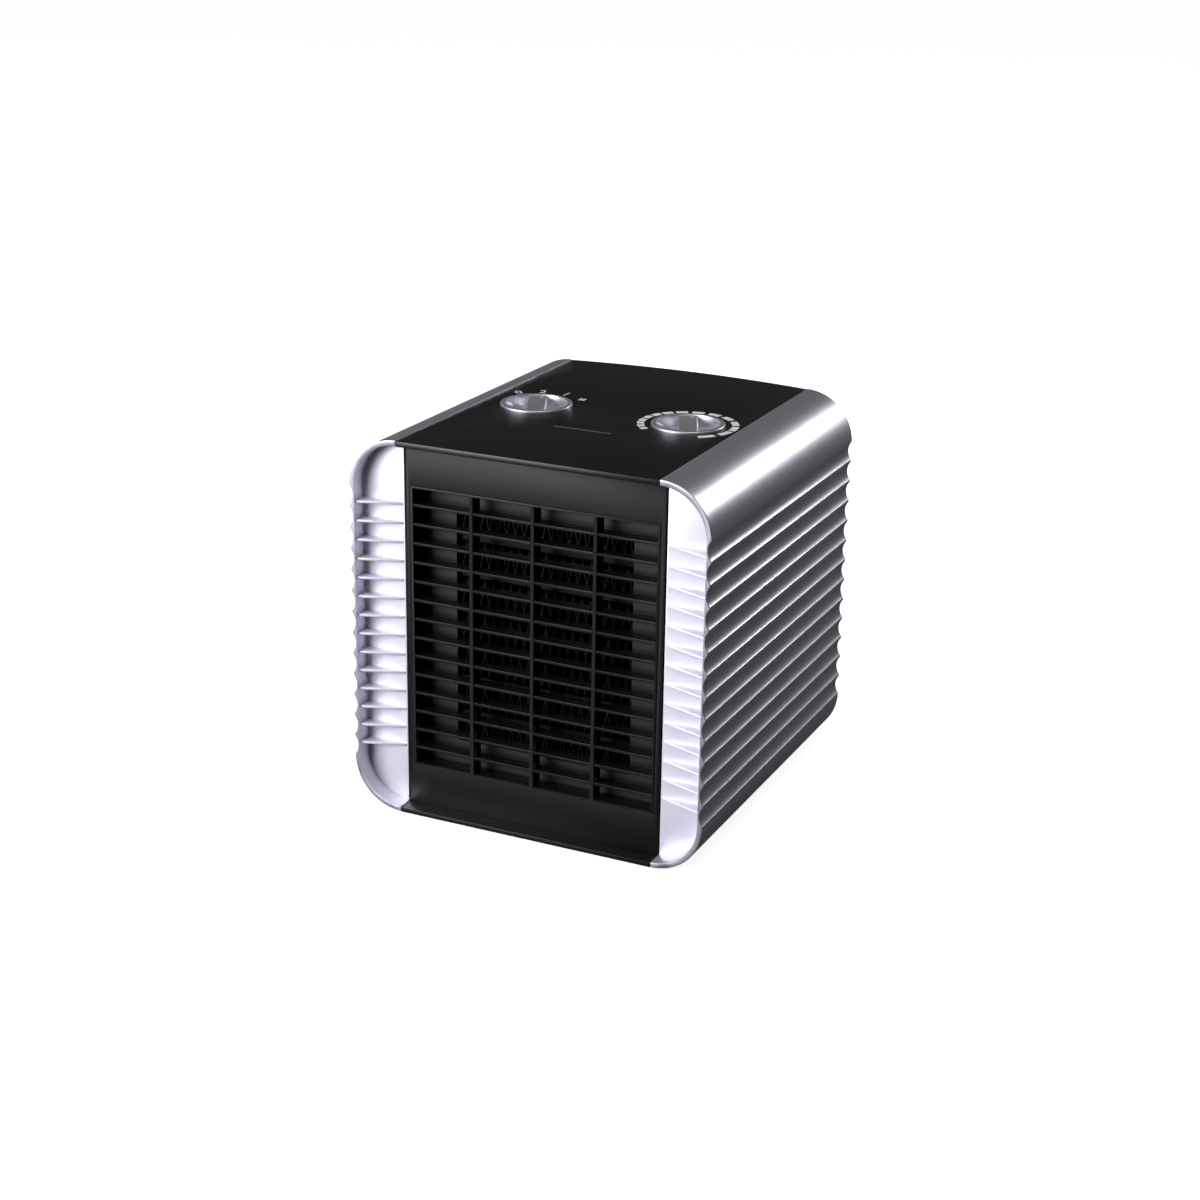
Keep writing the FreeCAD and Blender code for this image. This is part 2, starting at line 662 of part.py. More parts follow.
# Knobs: a shallow round dish with two curved finger scoops and a flat-topped grip bar between.
for tag, side in KNOBS.items():
    knob_body = document.addObject("PartDesign::Body", f"{tag}_knob_blank")
    disc_sketch = sketch_on(knob_body, f"{tag}_knob_outline", "XY_Plane")
    circle(disc_sketch, "0", "0", "knob_radius")
    disc = pad(knob_body, disc_sketch, "knob_height")
    knob_body.Tip = fillet_edges(knob_body, disc, "knob_edge_fillet", lambda edge: edge.BoundBox.ZMin > 1)
    long_span = ("-knob_radius", "knob_radius")
    scoop_level = "knob_height - scoop_step - scoop_drop + scoop_curve"
    troughs = fuse(
        f"{tag}_troughs",
        rod(f"{tag}_trough_left", "scoop_curve", "y", long_span, ("-grip_width / 2", scoop_level)),
        rod(f"{tag}_trough_right", "scoop_curve", "y", long_span, ("grip_width / 2", scoop_level)),
    )
    dish_limit = rod(f"{tag}_dish_limit", "scoop_radius", "z", ("0", "2 * knob_height"), ("0", "0"))
    dish = common(f"{tag}_dish", troughs, dish_limit)
    grip_top = "knob_height - grip_drop"
    grip_shoulder = f"{grip_top} - grip_edge"
    grip = fuse(
        f"{tag}_grip_parts",
        box(
            f"{tag}_grip_web",
            ("-grip_width / 2", "grip_width / 2"),
            long_span,
            ("grip_root", grip_shoulder),
        ),
        box(
            f"{tag}_grip_crown",
            ("grip_edge - grip_width / 2", "grip_width / 2 - grip_edge"),
            long_span,
            ("grip_root", grip_top),
        ),
        rod(
            f"{tag}_grip_edge_left",
            "grip_edge",
            "y",
            long_span,
            ("grip_edge - grip_width / 2", grip_shoulder),
        ),
        rod(
            f"{tag}_grip_edge_right",
            "grip_edge",
            "y",
            long_span,
            ("grip_width / 2 - grip_edge", grip_shoulder),
        ),
    )
    grip_limit = rod(f"{tag}_grip_limit", "scoop_radius + grip_root", "z", ("0", grip_top), ("0", "0"))
    dot_span = ("grip_root", f"{grip_top} + dot_rise")
    pointer = rod(f"{tag}_pointer_dot", "dot_radius", "z", dot_span, ("dot_side", "dot_reach"))
    knob_whole = fuse(
        f"{tag}_knob_whole",
        cut(f"{tag}_knob_dished", knob_body, dish),
        common(f"{tag}_grip", grip, grip_limit),
        pointer,
    )
    socket = rod(f"{tag}_socket", "shaft_radius", "z", ("-1", "shaft_grip"), ("0", "0"))
    knob = cut(f"{tag}_knob_solid", knob_whole, socket)
    bind(knob, Placement__Rotation__Angle="pointer_angle")
    place(knob, side, "knob_line", "knob_base")
    node(knob, f"{tag}_knob")

# Rotary switch: a box with a spindle in a close bore and blade terminals below.
mode_centre = ("-knob_side", "knob_line")
shaft_span = ("control_top - shaft_tail", "knob_base + shaft_grip")
bore_radius = "shaft_radius + running_gap"
switch_bottom = "control_top - switch_height"
switch_box = box(
    "switch_box",
    ("-knob_side - switch_width / 2", "-knob_side + switch_width / 2"),
    ("knob_line - switch_width / 2", "knob_line + switch_width / 2"),
    (switch_bottom, "control_top"),
)
switch_cuts = [
    rod(
        "switch_bore",
        bore_radius,
        "z",
        ("control_top - shaft_tail - overshoot", "control_top + overshoot"),
        mode_centre,
    ),
]
for step in ("-", "+"):
    switch_cuts.append(
        rod(
            f"switch_screw_hole_{'low' if step == '-' else 'high'}",
            "control_screw_radius",
            "z",
            ("control_top - control_screw_grip", "control_top + overshoot"),
            (f"-knob_side {step} control_screw_spacing / 2", "knob_line"),
        )
    )
node(cut("switch_solid", switch_box, *switch_cuts), "switch_housing")
node(rod("switch_spindle", "shaft_radius", "z", shaft_span, mode_centre), "switch_shaft")
group(
    "switch_terminals",
    *[
        box(
            f"switch_tab_{index}",
            (f"-knob_side + {across} - terminal_width / 2", f"-knob_side + {across} + terminal_width / 2"),
            (
                f"knob_line + {along} - terminal_thickness / 2",
                f"knob_line + {along} + terminal_thickness / 2",
            ),
            (f"{switch_bottom} - terminal_length", switch_bottom),
        )
        for index, (across, along) in enumerate(
            (a, b) for a in (
                "switch_width / 4", "-switch_width / 4"
            ) for b in ("switch_width / 4", "-switch_width / 4")
        )
    ],
)

# Thermostat: a steel plate with a collar, and contact blades stacked between ceramic spacers.
heat_centre = ("knob_side", "knob_line")
plate_low = "control_top - thermostat_plate_thickness"
plate_box = box(
    "thermostat_plate_box",
    ("knob_side - thermostat_width / 2", "knob_side + thermostat_width / 2"),
    ("knob_line - thermostat_depth / 2", "knob_line + thermostat_depth / 2"),
    (plate_low, "control_top"),
)
collar = rod(
    "thermostat_collar", "collar_radius", "z", ("control_top - shaft_tail", "control_top"), heat_centre
)
rivet_x = "knob_side"
rivet_y = "knob_line + spacer_offset"
rivet_centre = (rivet_x, rivet_y)
stack_tab = box(
    "thermostat_stack_tab",
    (f"{rivet_x} - spacer_radius", f"{rivet_x} + spacer_radius"),
    ("knob_line", f"{rivet_y} + spacer_radius"),
    (plate_low, "control_top"),
)
plate_cuts = [
    rod(
        "thermostat_bore",
        bore_radius,
        "z",
        ("control_top - shaft_tail - overshoot", "control_top + overshoot"),
        heat_centre,
    ),
]
plate_cuts.append(
    rod(
        "thermostat_rivet_hole",
        "rivet_radius",
        "z",
        (f"{plate_low} - overshoot", "control_top + overshoot"),
        rivet_centre,
    ),
)
for step in ("-", "+"):
    plate_cuts.append(
        rod(
            f"thermostat_screw_hole_{'low' if step == '-' else 'high'}",
            "control_screw_radius",
            "z",
            (f"{plate_low} - overshoot", "control_top + overshoot"),
            (f"knob_side {step} control_screw_spacing / 2", "knob_line"),
        )
    )
node(
    cut(
        "thermostat_plate_solid", fuse("thermostat_plate_parts", plate_box, collar, stack_tab), *plate_cuts
    ),
    "thermostat_plate",
)
node(rod("thermostat_spindle", "shaft_radius", "z", shaft_span, heat_centre), "thermostat_shaft")
spacers = []
blades = []
level = plate_low
for index in range(3):
    spacer_low = f"{level} - spacer_height"
    ring = rod(f"spacer_{index}", "spacer_radius", "z", (spacer_low, level), rivet_centre)
    hole = rod(
        f"spacer_hole_{index}",
        "rivet_radius",
        "z",
        (f"{spacer_low} - overshoot", f"{level} + overshoot"),
        rivet_centre,
    )
    spacers.append(cut(f"spacer_ring_{index}", ring, hole))
    level = spacer_low
    blade_low = f"{level} - blade_thickness"
    strip = box(
        f"blade_strip_{index}",
        (f"{rivet_x} - blade_width / 2", f"{rivet_x} + blade_width / 2"),
        ("knob_line - thermostat_depth / 2 - blade_overhang", f"{rivet_y} + spacer_radius"),
        (blade_low, level),
    )
    hole = rod(
        f"blade_hole_{index}",
        "rivet_radius",
        "z",
        (f"{blade_low} - overshoot", f"{level} + overshoot"),
        rivet_centre,
    )
    blades.append(cut(f"blade_{index}", strip, hole))
    level = blade_low
    if index == 1:
        blade_level = f"{blade_low} + blade_thickness / 2"
group("thermostat_spacers", *spacers)
group("thermostat_blades", *blades)
node(rod("thermostat_pin", "rivet_radius", "z", (level, "control_top"), rivet_centre), "thermostat_rivet")
screws = []
for tag, side in KNOBS.items():
    for step in ("-", "+"):
        centre = (f"{side} {step} control_screw_spacing / 2", "knob_line")
        name = f"{tag}_screw_{'low' if step == '-' else 'high'}"
        head = rod(
            name + "_head",
            "control_screw_head",
            "z",
            ("well_bottom", "well_bottom + control_screw_head_height"),
            centre,
        )
        grip_length = "control_screw_grip" if tag == "mode" else "thermostat_plate_thickness"
        shank = rod(
            name + "_shank",
            "control_screw_radius",
            "z",
            (f"control_top - {grip_length}", "well_bottom + 0.5"),
            centre,
        )
        screws.append(fuse(name, head, shank))
group("control_screws", *screws)

# Pilot light: a light-pipe lens in its slot, and a lamp in a holder under it.
flange_low = "panel_under - lens_flange_thickness"
lens_stem = box(
    "lens_stem",
    ("-lens_length / 2", "lens_length / 2"),
    (f"{lens_line} - lens_width / 2", f"{lens_line} + lens_width / 2"),
    (f"{flange_low} + 0.5", "panel_top - 0.1"),
)
lens_base = box(
    "lens_base",
    ("-lens_length / 2 - lens_flange", "lens_length / 2 + lens_flange"),
    (f"{lens_line} - lens_width / 2 - lens_flange", f"{lens_line} + lens_width / 2 + lens_flange"),
    (flange_low, "panel_under"),
)
node(fuse("lens_solid", lens_stem, lens_base), "indicator_lens")
lamp_z = f"{flange_low} - lamp_radius - lamp_holder_wall"
holder_reach = "lamp_radius + lamp_holder_wall"
holder_box = box(
    "holder_box",
    ("-lamp_length / 2", "lamp_length / 2"),
    (f"{lens_line} - {holder_reach}", f"{lens_line} + {holder_reach}"),
    (f"{lamp_z} - {holder_reach}", flange_low),
)
holder_bore = rod("holder_bore", "lamp_radius", "x", ("-lamp_length", "lamp_length"), (lens_line, lamp_z))
node(cut("holder_solid", holder_box, holder_bore), "lamp_holder")
node(
    rod("lamp_tube", "lamp_radius", "x", ("-lamp_length / 2", "lamp_length / 2"), (lens_line, lamp_z)),
    "indicator_lamp",
)

# Duct: a square tube from the back of the front panel to the fan.
duct_tube = box(
    "duct_tube", ("-duct_half", "duct_half"), ("backing_back", "duct_back"), ("duct_bottom", "duct_top")
)
duct_space = box(
    "duct_space",
    ("-grille_half", "grille_half"),
    ("front_plane", "rear_plane"),
    ("grille_bottom", "grille_top"),
)
node(cut("duct_solid", duct_tube, duct_space), "heater_duct")

# Element frames: two plates with a window that clamp the element inside the duct.
for tag, start, end in (("front", "frame_front", "element_front"), ("rear", "element_back", "frame_back")):
    plate = box(
        f"frame_plate_{tag}", ("-grille_half", "grille_half"), (start, end), ("grille_bottom", "grille_top")
    )
    window = box(
        f"frame_window_{tag}",
        ("-tube_half + frame_overlap", "tube_half - frame_overlap"),
        (f"{start} - overshoot", f"{end} + overshoot"),
        ("element_bottom + frame_overlap", "element_top - frame_overlap"),
    )
    node(cut(f"frame_solid_{tag}", plate, window), f"heater_frame_{tag}")
for tag, near, far in (("left", "-element_half", "-tube_half"), ("right", "tube_half", "element_half")):
    end_block = box(
        f"end_block_{tag}",
        (near, far),
        ("element_front", "element_back"),
        ("element_bottom", "element_top"),
    )
    node(end_block, f"element_end_{tag}")

# Heating element: flat aluminium tubes with ceramic stones inside, and folded fins between.
tubes = []
stones = []
stone_length = "(2 * tube_half - stone_gap * (stone_count + 1)) / stone_count"
middle_y = "(element_front + element_back) / 2"
tube_count = int(number("tube_count"))
for index in range(tube_count):
    low = f"element_bottom + {index + 1} * row_height + {index} * tube_height"
    high = f"element_bottom + {index + 1} * row_height + {index + 1} * tube_height"
    skin = box(
        f"tube_skin_{index}", ("-tube_half", "tube_half"), ("element_front", "element_back"), (low, high)
    )
    hollow = box(
        f"tube_hollow_{index}",
        ("-tube_half - overshoot", "tube_half + overshoot"),
        (f"{middle_y} - stone_depth / 2", f"{middle_y} + stone_depth / 2"),
        (f"{low} + tube_wall", f"{high} - tube_wall"),
    )
    tubes.append(cut(f"tube_{index}", skin, hollow))
    for step in range(int(number("stone_count"))):
        left = f"-tube_half + stone_gap + {step} * ({stone_length} + stone_gap)"
        stones.append(
            box(
                f"stone_{index}_{step}",
                (left, f"{left} + {stone_length}"),
                (f"{middle_y} - stone_depth / 2", f"{middle_y} + stone_depth / 2"),
                (f"{low} + tube_wall", f"{high} - tube_wall"),
            )
        )
group("heating_tubes", *tubes)
group("ceramic_stones", *stones)

fold_count = round(number("2 * tube_half / fin_pitch"))
fold_step = number("tube_half") / fold_count
row_height = number("row_height")
crest = number("fin_sheet") * math.hypot(row_height, fold_step) / fold_step
strips = []
for index in range(tube_count + 1):
    low = number(f"element_bottom + {index} * (row_height + tube_height)")
    folds = range(2 * fold_count + 1)
    crease = [
        (number("-tube_half") + step * fold_step, low + (row_height - crest) * (step % 2))
        for step in folds
    ]
    outline = crease + [(x, z + crest) for x, z in reversed(crease)]
    corners = [FreeCAD.Vector(x, number("element_front"), z) for x, z in outline]
    wire = Part.makePolygon(corners + corners[:1])
    strips.append(Part.Face(wire).extrude(FreeCAD.Vector(0, number("element_depth"), 0)))
folded_fins = document.addObject("Part::Feature", "folded_fins")
folded_fins.Shape = Part.makeCompound(strips)
node(folded_fins, "radiator_fins")

tabs = []
for index in range(0, tube_count, 2):
    tab_z = f"element_bottom + {index + 1} * row_height + {index} * tube_height + tube_height / 2"
    tabs.append(
        box(
            f"electrode_{index}",
            ("element_half", "element_half + tab_length"),
            (f"{middle_y} - tab_width / 2", f"{middle_y} + tab_width / 2"),
            (f"{tab_z} - tab_thickness / 2", f"{tab_z} + tab_thickness / 2"),
        )
    )
group("electrode_tabs", *tabs)

# Fan shroud: a plate over the duct's end, the ring round the blades and four struts to the motor seat.
shroud_plate = box(
    "shroud_plate_box",
    ("-duct_half", "duct_half"),
    ("duct_back", "shroud_back"),
    ("duct_bottom", "duct_top"),
)
fan_centre = ("0", "fan_height")
ring = rod("ring_tube", "ring_radius + ring_wall", "y", ("duct_back", "seat_back"), fan_centre)
ring_space = rod(
    "ring_space", "ring_radius", "y", ("duct_back - overshoot", "seat_back + overshoot"), fan_centre
)
strut_span = ("ring_back", "seat_back")
struts = [
    box(
        "strut_level",
        ("-ring_radius - overshoot", "ring_radius + overshoot"),
        strut_span,
        ("fan_height - strut_width / 2", "fan_height + strut_width / 2"),
    ),
    box(
        "strut_upright",
        ("-strut_width / 2", "strut_width / 2"),
        strut_span,
        ("fan_height - ring_radius - overshoot", "fan_height + ring_radius + overshoot"),
    ),
    rod("motor_seat", "motor_seat_radius", "y", strut_span, fan_centre),
]
motor_screw_xs = ("-motor_screw_offset", "motor_screw_offset")
seat_cuts = [
    rod("seat_hole", "motor_seat_hole", "y", ("ring_back - overshoot", "seat_back + overshoot"), fan_centre)
]
for index, screw_x in enumerate(motor_screw_xs):
    span = ("ring_back - overshoot", "seat_back + overshoot")
    seat_cuts.append(
        rod(f"seat_screw_hole_{index}", "motor_screw_radius", "y", span, (screw_x, "fan_height"))
    )
shroud_shell = cut("shroud_shell", fuse("shroud_outer", shroud_plate, ring), ring_space)
node(cut("shroud_solid", fuse("shroud_parts", shroud_shell, *struts), *seat_cuts), "fan_shroud")

# Fan wheel: a hub and twisted blades, drawn about its own axis.
fan_body = document.addObject("PartDesign::Body", "fan_body")
hub_sketch = sketch_on(fan_body, "fan_hub", "XZ_Plane", "-(shroud_back + fan_start + blade_depth)")
circle(hub_sketch, "0", "0", "hub_radius")
circle(hub_sketch, "0", "0", "motor_shaft_radius")
pad(fan_body, hub_sketch, "blade_depth")
blade_middle = "shroud_back + fan_start + blade_depth / 2"


def blade_section(name, distance, half_chord, half_rise):
    section = sketch_on(fan_body, name, "YZ_Plane", distance)
    polygon(
        section,
        [
            (f"{blade_middle} - {half_rise}", f"-{half_chord}"),
            (f"{blade_middle} - {half_rise} + fan_blade_sheet", f"-{half_chord}"),
            (f"{blade_middle} + {half_rise}", half_chord),
            (f"{blade_middle} + {half_rise} - fan_blade_sheet", half_chord),
        ],
    )
    return section


root_section = blade_section("blade_root", "hub_radius - hub_wall", "root_half_chord", "blade_depth / 2")
tip_section = blade_section(
    "blade_tip", "sqrt(fan_radius ^ 2 - tip_half_chord ^ 2)", "tip_half_chord", "tip_rise"
)
blade = fan_body.newObject("PartDesign::AdditiveLoft", "fan_blade")
blade.Profile = root_section
blade.Sections = [tip_section]
blade.Ruled = True
document.recompute()
ring_of(fan_body, blade, "Y_Axis", "fan_blades")
fan_body.Tip = fan_body.Group[-1]
place(fan_body, z="fan_height")
node(fan_body, "fan_wheel")

# Motor: laminated core, coil, rotor on a shaft, and two bridges that carry the bushes.
shaft_start = "shroud_back + fan_start - overshoot"
shaft_end = "motor_back + motor_shaft_tail"
node(rod("motor_shaft_rod", "motor_shaft_radius", "y", (shaft_start, shaft_end), fan_centre), "motor_shaft")
rotor_span = ("core_front - rotor_overhang", "core_back + rotor_overhang")
rotor_solid = rod("rotor_solid", "rotor_radius", "y", rotor_span, fan_centre)
rotor_hole = rod("rotor_hole", "motor_shaft_radius", "y", ("core_front - 5", "core_back + 5"), fan_centre)
node(cut("rotor_ring", rotor_solid, rotor_hole), "motor_rotor")
core_box = box(
    "core_box",
    ("-core_width / 2", "core_width / 2"),
    ("core_front", "core_back"),
    ("fan_height - core_bottom", "fan_height + core_top"),
)
through_core = ("core_front - overshoot", "core_back + overshoot")
window_low = "fan_height - core_bottom + core_leg"
core_cuts = [
    rod("core_bore", "rotor_radius + air_gap", "y", through_core, fan_centre),
    box(
        "core_window",
        ("-window_width / 2", "window_width / 2"),
        through_core,
        (window_low, f"{window_low} + window_height"),
    ),
]
for index, screw_x in enumerate(motor_screw_xs):
    core_cuts.append(
        rod(f"core_screw_hole_{index}", "motor_screw_radius", "y", through_core, (screw_x, "fan_height"))
    )
node(cut("core_solid", core_box, *core_cuts), "motor_core")
coil_outer = box(
    "coil_outer",
    ("-window_width / 2 + coil_gap", "window_width / 2 - coil_gap"),
    ("core_front - coil_build", "core_back + coil_build"),
    (f"{window_low} - core_leg - coil_build", f"{window_low} + coil_build"),
)
coil_leg = box(
    "coil_leg",
    ("-core_width / 2", "core_width / 2"),
    ("core_front", "core_back"),
    (f"{window_low} - core_leg", window_low),
)
node(cut("coil_solid", coil_outer, coil_leg), "motor_coil")
for tag, plate_span, leg_span in (
    ("front", ("seat_back", "bridge_back"), ("bridge_back", "core_front")),
    ("rear", ("rear_bridge", "motor_back"), ("core_back", "rear_bridge")),
):
    height_span = ("fan_height - bridge_height / 2", "fan_height + bridge_height / 2")
    strap = box(f"bridge_strap_{tag}", ("-bridge_width / 2", "bridge_width / 2"), plate_span, height_span)
    legs = [
        box(
            f"bridge_leg_left_{tag}",
            ("-bridge_width / 2", "-bridge_width / 2 + bridge_foot"),
            leg_span,
            height_span,
        ),
        box(
            f"bridge_leg_right_{tag}",
            ("bridge_width / 2 - bridge_foot", "bridge_width / 2"),
            leg_span,
            height_span,
        ),
    ]
    bush_middle = f"({plate_span[0]} + {plate_span[1]}) / 2"
    bush_span = (f"{bush_middle} - bush_length / 2", f"{bush_middle} + bush_length / 2")
    wide_span = (f"{plate_span[0]} - 20", f"{plate_span[1]} + 20")
    bridge_cuts = [rod(f"bridge_hole_{tag}", "bush_radius", "y", wide_span, fan_centre)]
    for index, screw_x in enumerate(motor_screw_xs):
        bridge_cuts.append(
            rod(
                f"bridge_screw_hole_{tag}_{index}",
                "motor_screw_radius",
                "y",
                wide_span,
                (screw_x, "fan_height"),
            ),
        )
    node(
        cut(f"bridge_solid_{tag}", fuse(f"bridge_parts_{tag}", strap, *legs), *bridge_cuts),
        f"motor_bridge_{tag}",
    )
    bush = rod(f"bush_outer_{tag}", "bush_radius", "y", bush_span, fan_centre)
    bush_hole = rod(f"bush_bore_{tag}", "motor_shaft_radius + running_gap", "y", wide_span, fan_centre)
    node(cut(f"bush_solid_{tag}", bush, bush_hole), f"bush_{tag}")
group(
    "motor_screws",
    *[
        fuse(
            f"motor_screw_{index}",
            rod(
                f"motor_screw_shank_{index}",
                "motor_screw_radius",
                "y",
                ("ring_back", "motor_back"),
                (screw_x, "fan_height"),
            ),
            rod(
                f"motor_screw_head_{index}",
                "motor_screw_head",
                "y",
                ("motor_back", "motor_back + motor_screw_head_height"),
                (screw_x, "fan_height"),
            ),
        )
        for index, screw_x in enumerate(motor_screw_xs)
    ],
)

# Rear cover: a plate inside the side profiles and a bowed middle with intake slots.
cover_form = case_form("cover_form", "profile_wall + seam_gap", "cover_front", "cover_back")
middle_z = ("base_top", "panel_under")
bow_block = box("bow_block", ("-panel_half", "panel_half"), ("cover_front", "rear_face"), middle_z)
bow_outer = rod("bow_outer", "bulge_radius", "z", middle_z, ("0", "rear_face - bulge_radius"))
bow_solid = common("bow_solid", bow_block, bow_outer)
bow_inner = rod(
    "bow_inner", "bulge_radius - cover_thickness", "z", ("0", "body_top"), ("0", "rear_face - bulge_radius")
)
edge_margin = "cover_thickness"
bow_room = box(
    "bow_room",
    (f"-panel_half + {edge_margin}", f"panel_half - {edge_margin}"),
    ("cover_front - overshoot", "rear_face"),
    (f"base_top + {edge_margin}", f"panel_under - {edge_margin}"),
)
bow_space = common("bow_space", bow_inner, bow_room)
gland_centre = ("0", "gland_level")
gland_boss = rod(
    "gland_boss",
    "gland_flange + gland_boss_wall",
    "y",
    ("rear_face - gland_length", "rear_face - cover_thickness / 2"),
    gland_centre,
)
boss_fit = common(
    "gland_boss_fit",
    gland_boss,
    box("boss_limit", ("-panel_half", "panel_half"), ("cover_front", "rear_face"), middle_z),
)
slot_left = "-intake_column_pitch * (intake_columns - 1) / 2 - intake_slot_length / 2"
slot_low = "fan_height - intake_pitch * (intake_rows - 1) / 2 - intake_slot / 2"
slot_blocks = []
for column in range(int(number("intake_columns"))):
    for row in range(int(number("intake_rows"))):
        slot_blocks.append(
            box(
                f"intake_{column}_{row}",
                (
                    f"{slot_left} + {column} * intake_column_pitch",
                    f"{slot_left} + {column} * intake_column_pitch + intake_slot_length",
                ),
                ("cover_front - overshoot", "rear_face + overshoot"),
                (f"{slot_low} + {row} * intake_pitch", f"{slot_low} + {row} * intake_pitch + intake_slot"),
            )
        )
rear_screw_places = [
    (f"{side}(centre_half + boss_offset / sqrt(2))", f"{level} {sign} boss_offset / sqrt(2)")
    for side in ("-", "")
    for level, sign in (("foot_height + corner_radius", "-"), ("body_top - corner_radius", "+"))
]
cover_cuts = [
    rod(
        f"cover_screw_hole_{index}",
        "case_screw_radius",
        "y",
        ("cover_front - overshoot", "cover_back + overshoot"),
        centre,
    )
    for index, centre in enumerate(rear_screw_places)
]
cover_cuts.append(
    rod("gland_hole", "gland_radius", "y", ("cover_front - 10", "rear_face + overshoot"), gland_centre)
)
cover_cuts.append(
    rod(
        "gland_sink",
        "gland_flange",
        "y",
        ("rear_face - gland_flange_thickness", "rear_face + overshoot"),
        gland_centre,
    ),
)
centre_gap = box(
    "centre_gap",
    ("-panel_half", "panel_half"),
    ("cover_front - overshoot", "rear_face"),
    ("0", "body_top + overshoot"),
)
wing_plate = cut("wing_plate", cover_form, centre_gap)
wing_joint = box(
    "wing_joint",
    ("-panel_half - overshoot", "panel_half + overshoot"),
    ("cover_front", "cover_back"),
    ("base_top + corner_radius", "panel_under - corner_radius"),
)
cover_shell = cut("cover_shell", fuse("cover_parts", bow_solid, wing_plate, wing_joint), bow_space)
node(
    cut("rear_cover_solid", fuse("cover_whole", cover_shell, boss_fit), *slot_blocks, *cover_cuts),
    "rear_cover",
)
gland_body = rod("gland_body", "gland_radius", "y", ("rear_face - gland_length", "rear_face"), gland_centre)
gland_rim = rod(
    "gland_rim", "gland_flange", "y", ("rear_face - gland_flange_thickness", "rear_face"), gland_centre
)
gland_bore = rod(
    "gland_bore_space",
    "gland_bore",
    "y",
    ("rear_face - gland_length - overshoot", "rear_face + overshoot"),
    gland_centre,
)
node(cut("gland_solid", fuse("gland_parts", gland_body, gland_rim), gland_bore), "cord_gland")
group(
    "rear_screws",
    *[
        fuse(
            f"rear_screw_{index}",
            rod(
                f"rear_screw_shank_{index}",
                "case_screw_radius",
                "y",
                ("cover_front - rear_screw_grip", "cover_back"),
                centre,
            ),
            rod(
                f"rear_screw_head_{index}",
                "case_screw_head",
                "y",
                ("cover_back", "cover_back + case_screw_head_height"),
                centre,
            ),
        )
        for index, centre in enumerate(rear_screw_places)
    ],
)

# Safety parts: a snap-disc cut-out on the duct and a thermal fuse behind the element.
cutout_line = "front_plane + cutout_depth"
cutout_base = "duct_top + cutout_plate_thickness"
cutout_plate = box(
    "cutout_plate",
    ("-cutout_plate_length / 2", "cutout_plate_length / 2"),
    (f"{cutout_line} - cutout_plate_width / 2", f"{cutout_line} + cutout_plate_width / 2"),
    ("duct_top", cutout_base),
)
cutout_can = rod(
    "cutout_can", "cutout_radius", "z", ("duct_top", "duct_top + cutout_height"), ("0", cutout_line)
)
node(fuse("cutout_solid", cutout_plate, cutout_can), "thermal_cutout")
fuse_z = ("element_top", "element_top + fuse_width")
fuse_box = box(
    "fuse_box", ("-fuse_length / 2", "fuse_length / 2"), ("frame_back", "frame_back + fuse_width"), fuse_z
)
fuse_leads = rod(
    "fuse_leads",
    "fuse_lead",
    "x",
    ("-fuse_length / 2 - fuse_lead_length", "fuse_length / 2 + fuse_lead_length"),
    ("frame_back + fuse_width / 2", "element_top + fuse_width / 2"),
)
node(fuse("fuse_solid", fuse_box, fuse_leads), "thermal_fuse")

# Terminal block: a moulded block on the base with a brass screw for each way.
block_span = ("rear_plane - block_back - block_width", "rear_plane - block_back")
block_right = "centre_half - foot_flange_reach - block_gap"
block_left = f"({block_right} - block_length)"
block_box = box("block_box", (block_left, block_right), block_span, ("base_top", "base_top + block_height"))
block_holes = []
block_screws = []
for way in range(int(number("block_ways"))):
    centre = (
        f"{block_left} + block_length / block_ways * ({way} + 0.5)",
        "rear_plane - block_back - block_width / 2",
    )
    depth_span = ("base_top + block_height - block_screw_depth", "base_top + block_height")
    block_holes.append(rod(f"block_hole_{way}", "block_screw_radius", "z", depth_span, centre))
    block_screws.append(
        rod(
            f"block_screw_{way}",
            "block_screw_radius",
            "z",
            (depth_span[0], f"{depth_span[1]} - overshoot"),
            centre,
        ),
    )
node(cut("block_solid", block_box, *block_holes), "terminal_block")
group("terminal_screws", *block_screws)

# Wiring: round leads with easy bends between the terminals, the controls and the motor.
def lead(*points):
    """A round lead through points given as expressions, with an arc at each inner point."""
    places = [FreeCAD.Vector(*[number(text) for text in point]) for point in points]
    bend = number("wire_bend")
    edges = []
    here = places[0]
    for before, corner, after in zip(places, places[1:], places[2:]):
        inwards = (before - corner).normalize()
        outwards = (after - corner).normalize()
        reach = min(bend, 0.45 * (before - corner).Length, 0.45 * (after - corner).Length)
        half_turn = inwards.getAngle(outwards) / 2
        middle = (inwards + outwards).normalize() * (
            reach / math.cos(half_turn) * (1 - math.sin(half_turn))
        )
        start, end = corner + inwards * reach, corner + outwards * reach
        edges.append(Part.makeLine(here, start))
        edges.append(Part.Arc(start, corner + middle, end).toShape())
        here = end
    edges.append(Part.makeLine(here, places[-1]))
    profile = Part.Wire(Part.makeCircle(number("wire_radius"), places[0], places[1] - places[0]))
    return Part.Wire(edges).makePipeShell([profile], True, True)


